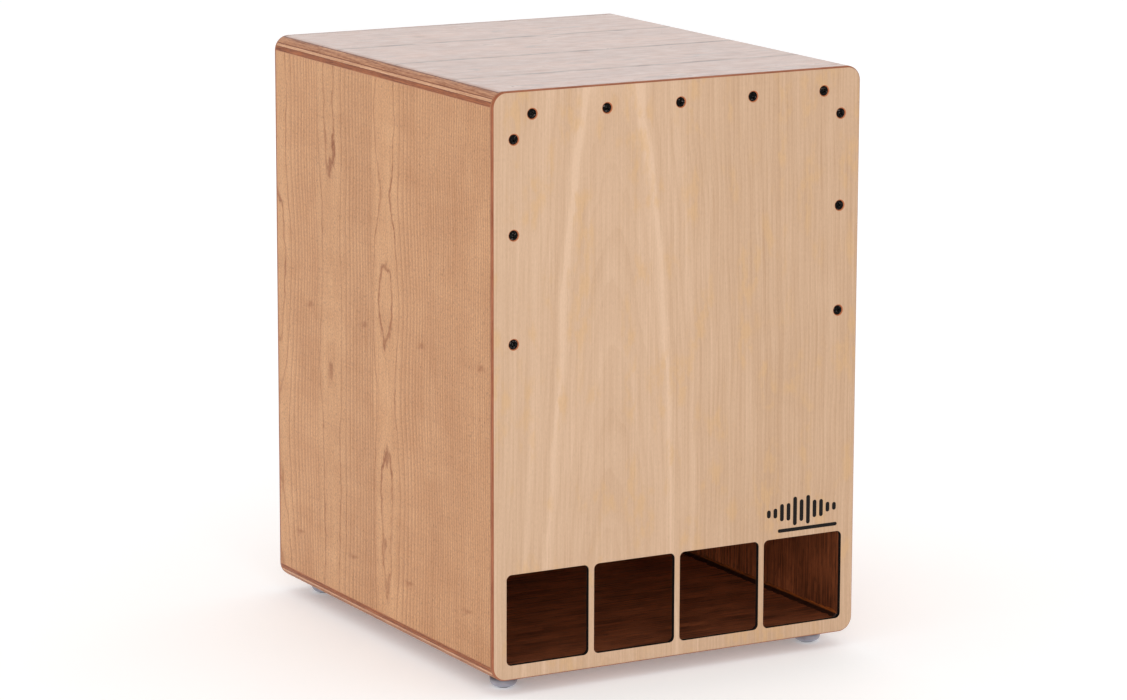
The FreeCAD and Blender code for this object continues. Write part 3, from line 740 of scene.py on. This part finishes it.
def soft_box(name, place, aim, width, height, power):
    """A rectangular studio light."""
    light = bpy.data.lights.new(name, "AREA")
    light.shape = "RECTANGLE"
    light.size = width
    light.size_y = height
    light.energy = power
    lamp = bpy.data.objects.new(name, light)
    lamp.location = place
    lamp.rotation_mode = "QUATERNION"
    lamp.rotation_quaternion = (Vector(aim) - Vector(place)).to_track_quat("-Z", "Y")
    bpy.context.scene.collection.objects.link(lamp)


def studio_light():
    """An even white room, a large soft light by the camera and one behind that glances off the seat."""
    world = bpy.data.worlds.new("studio")
    world.use_nodes = True
    background = world.node_tree.nodes["Background"]
    background.inputs["Color"].default_value = (1.0, 0.995, 0.99, 1.0)
    background.inputs["Strength"].default_value = 0.86
    bpy.context.scene.world = world
    middle = (0, 0, 0.25)
    soft_box("front_light", (-1.9, -4.7, 1.3), middle, 3.2, 2.4, 74.0)
    soft_box("back_light", (1.3, 2.9, 1.35), middle, 2.4, 0.7, 4.5)


def studio_camera():
    """The camera, set by its turn round the box, its tilt and its distance from the box's middle."""
    turn = math.radians(29.23)
    tilt = math.radians(11.48)
    roll = math.radians(0.16)
    distance = 3.707
    slide_right = 0.0032
    slide_up = -0.0175
    forward = Vector((math.sin(turn) * math.cos(tilt), math.cos(turn) * math.cos(tilt), -math.sin(tilt)))
    level_right = Vector((math.cos(turn), -math.sin(turn), 0.0))
    level_up = level_right.cross(forward)
    right = level_right * math.cos(roll) + level_up * math.sin(roll)
    up = level_up * math.cos(roll) - level_right * math.sin(roll)
    aim = Vector((0, 0, (FLOOR_LOW.z + SEAT_HIGH.z) / 2)) * MM
    data = bpy.data.cameras.new("camera")
    data.sensor_width = 36.0
    data.lens = 138.8
    camera = bpy.data.objects.new("camera", data)
    turned = Matrix((right, up, -forward)).transposed().to_4x4()
    camera.matrix_world = Matrix.Translation(aim - forward * distance + right * slide_right + up * slide_up) @ turned
    bpy.context.scene.collection.objects.link(camera)
    bpy.context.scene.camera = camera


# ---------------------------------------------------------------------------
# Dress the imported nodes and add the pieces
# ---------------------------------------------------------------------------
def dress(node, material):
    """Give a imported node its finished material."""
    mesh = NODES[node].data
    mesh.materials.clear()
    mesh.materials.append(material)


def dress_nodes():
    """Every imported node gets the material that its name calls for."""
    shared = {
        "seat": shell_board_material("seat_board", SEAT_HIGH.z, -1.0, 31.0, False),
        "floor": shell_board_material("floor_board", FLOOR_LOW.z, 1.0, 37.0, True),
        "side": side_material(),
        "tapa": tapa_material(),
        "rear": rear_material(),
        "stained": stained_material(),
        "batten": batten_material(),
        "screw": black_screw_material(),
        "nickel": nickel_material(),
        "rubber": rubber_material(),
        "steel": steel_material(),
    }
    by_ending = [
        ("seat_panel", "seat"), ("floor_panel", "floor"), ("side_panel", "side"), ("rear_panel", "rear"),
        ("tapa_screws", "screw"), ("tapa", "tapa"), ("shelf", "stained"), ("cleat", "stained"),
        ("seam_strip", "stained"), ("batten", "batten"), ("snare_bar", "batten"), ("foot_cup", "nickel"),
        ("foot_pad", "rubber"), ("screws", "steel"), ("clip", "steel"), ("wires", "steel"),
    ]
    for node in sorted(NODES):
        kind = next(kind for ending, kind in by_ending if node.endswith(ending))
        dress(node, shared[kind])
    return shared


def main():
    """Build the whole picture."""
    bpy.context.scene.view_settings.view_transform = "Standard"
    materials = dress_nodes()
    emblem(ink_material())
    # The seam beads: amber glue over a dark lower part that is partly painted shade of the gap at the seam.
    glue = seam_material()
    seam_strip("left", -1, glue)
    seam_strip("right", 1, glue)
    snare_coil("left", materials["steel"])
    snare_coil("right", materials["steel"])
    studio_floor()
    studio_light()
    studio_camera()


main()
